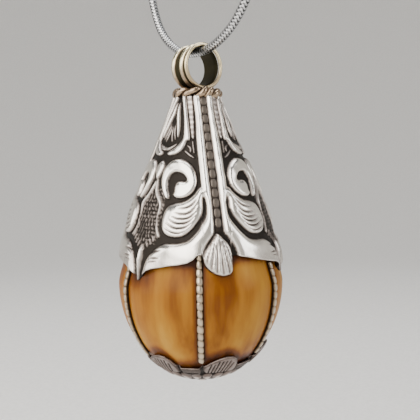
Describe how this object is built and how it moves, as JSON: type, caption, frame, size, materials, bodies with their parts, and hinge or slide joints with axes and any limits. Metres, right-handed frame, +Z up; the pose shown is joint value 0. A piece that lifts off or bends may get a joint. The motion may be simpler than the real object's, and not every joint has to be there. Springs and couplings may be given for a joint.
{
  "type": "pendant necklace",
  "caption": "Resin drop pendant in repousse silver caps with beaded straps, hung by a ribbed bail on a snake chain with a lobster clasp.",
  "frame": {"origin": "centre of the rod, hook or finger that the chain hangs over", "axes": "+Z up along the hanging pendant, +X along the bail's bore and the chain's turns, +Y along the rod"},
  "size_m": [0.0337, 0.0294, 0.1297],
  "materials": {
    "snake_chain": "polished, fine slanted ribs",
    "pale_gold_bail": "polished, worn gilding",
    "gold_toned_collar": "worn gilding over silver",
    "dark_silver": "oxidised silver",
    "chased_silver": "chased silver, polished on the high parts, oxidised in the recesses",
    "beaded_silver": "milled silver wire, darkened between the beads",
    "foot_silver": "chased silver, oxidised in the recesses",
    "lac": "dull hard lac",
    "amber_resin": "polished, cloudy orange and honey streaks",
    "clasp_steel": "polished",
    "spring_steel": "plain"
  },
  "bodies": {
    "hung_chain": {"chain": "snake_chain", "end_cap_a": "clasp_steel", "end_cap_b": "clasp_steel"},
    "pendant": {"bail_band": "pale_gold_bail", "bail_rim_wire": "pale_gold_bail", "neck_plug": "dark_silver", "collar_ring": "gold_toned_collar", "upper_cap": "chased_silver", "lac_filler": "lac", "amber_drop": "amber_resin", "spine_wire_1": "dark_silver", "spine_wire_2": "dark_silver", "spine_wire_3": "dark_silver", "strap_1": "beaded_silver", "strap_2": "beaded_silver", "strap_3": "beaded_silver", "strap_4": "beaded_silver", "strap_5": "beaded_silver", "strap_6": "beaded_silver", "lower_cap": "foot_silver", "bottom_knob": "foot_silver"},
    "upper_jump_ring": {"jump_ring_a": "clasp_steel"},
    "clasp": {"clasp_body": "clasp_steel", "clasp_pin": "clasp_steel", "clasp_spring": "spring_steel"},
    "clasp_gate": {"clasp_lever": "clasp_steel"},
    "lower_jump_ring": {"jump_ring_b": "clasp_steel"}
  },
  "joints": [
    {"name": "pendant_swing", "type": "hinge", "parent": "hung_chain", "child": "pendant", "pos_m": [0, 0, -0.056], "axis": [1, 0, 0], "range_deg": [-90, 90]},
    {"name": "upper_ring_sway", "type": "hinge", "parent": "hung_chain", "child": "upper_jump_ring", "pos_m": [0.015, -0.0043, -0.008], "axis": [1, 0, 0], "range_deg": [-20, 20]},
    {"name": "clasp_sway", "type": "hinge", "parent": "upper_jump_ring", "child": "clasp", "pos_m": [0.015, -0.0043, -0.01], "axis": [1, 0, 0], "range_deg": [-20, 20]},
    {"name": "lower_ring_sway", "type": "hinge", "parent": "clasp", "child": "lower_jump_ring", "pos_m": [0.015, -0.0043, -0.0202], "axis": [1, 0, 0], "range_deg": [-20, 20]},
    {"name": "gate_open", "type": "hinge", "parent": "clasp", "child": "clasp_gate", "pos_m": [0.016, -0.0043, -0.0142], "axis": [0, 1, 0], "range_deg": [0, 22], "stiffness_Nm_per_rad": 0.0004, "springref_deg": -17.19, "deforming": ["clasp_spring"]}
  ],
  "couplings": [
    {"joint": "clasp_sway", "follows": "upper_ring_sway", "ratio": -1},
    {"joint": "lower_ring_sway", "follows": "upper_ring_sway", "ratio": -1}
  ]
}
